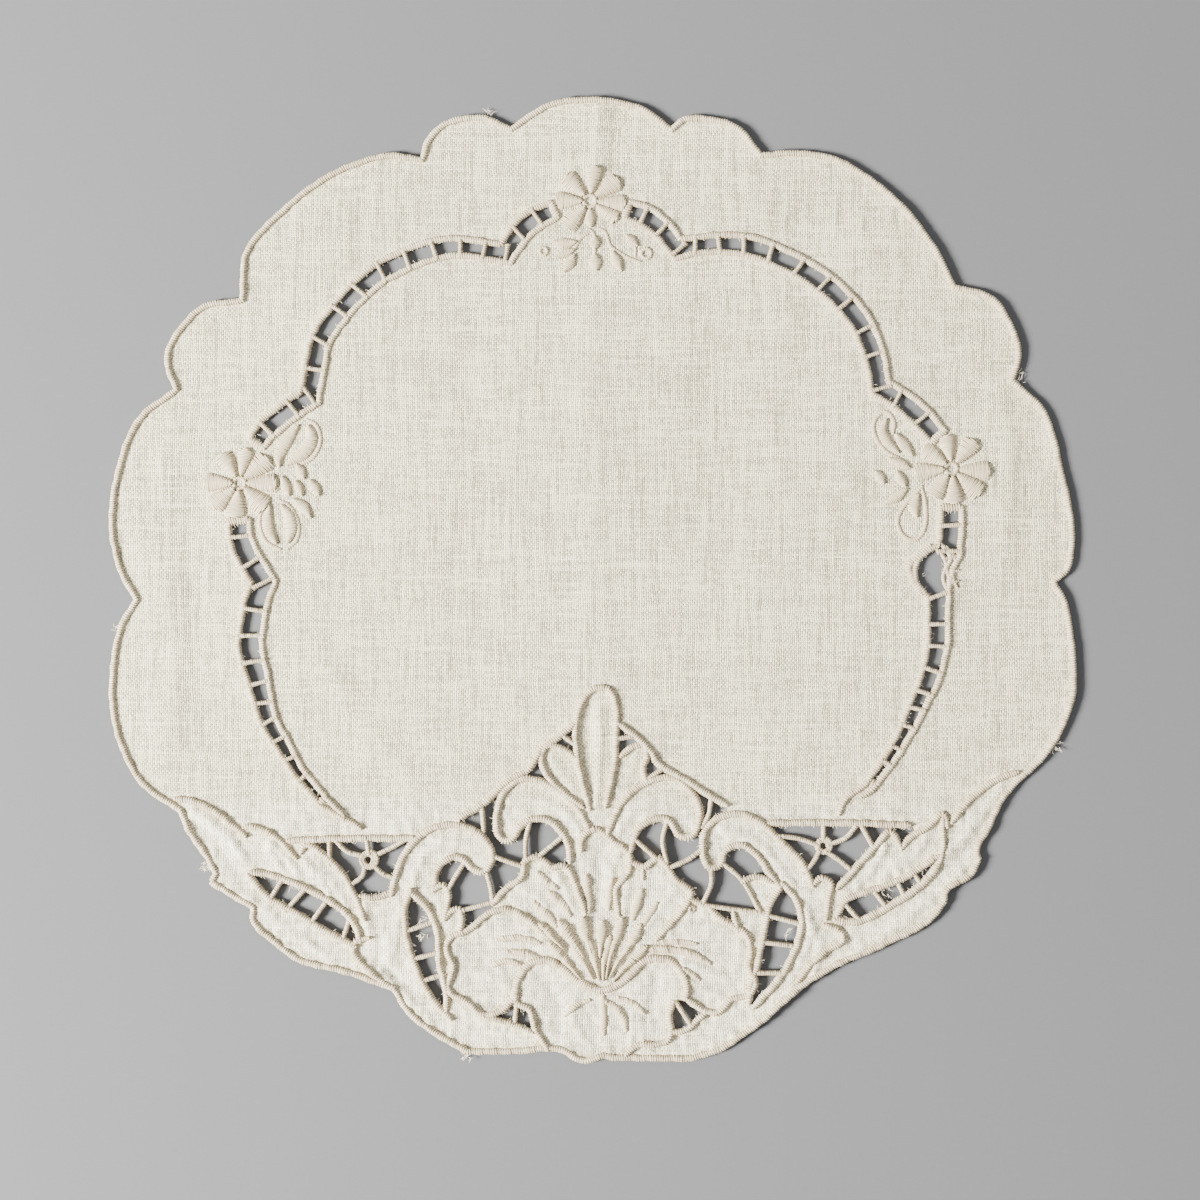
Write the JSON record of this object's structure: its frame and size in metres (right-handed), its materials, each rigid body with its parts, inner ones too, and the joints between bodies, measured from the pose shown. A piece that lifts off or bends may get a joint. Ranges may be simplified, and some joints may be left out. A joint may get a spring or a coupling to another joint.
{
  "type": "lace doily",
  "caption": "Round scalloped white linen doily, flat, with cutwork ladders of small gaps, a cut-out scroll and leaf motif at its foot, padded flowers and a buttonholed edge.",
  "frame": {"origin": "middle of the doily's box, on its flat underside, which is the face that rests on a table", "axes": "+Z out of the embroidered face; +Y from the foot with the scrolls and leaves to the head with the top scallop; +X to the doily's right, seen from the face"},
  "size_m": [0.2194, 0.219, 0.0016],
  "materials": {
    "white_linen": "matt plain weave, undyed white, with satin-stitched cords"
  },
  "bodies": {
    "root": {"doily_cloth": "white_linen"}
  },
  "joints": []
}
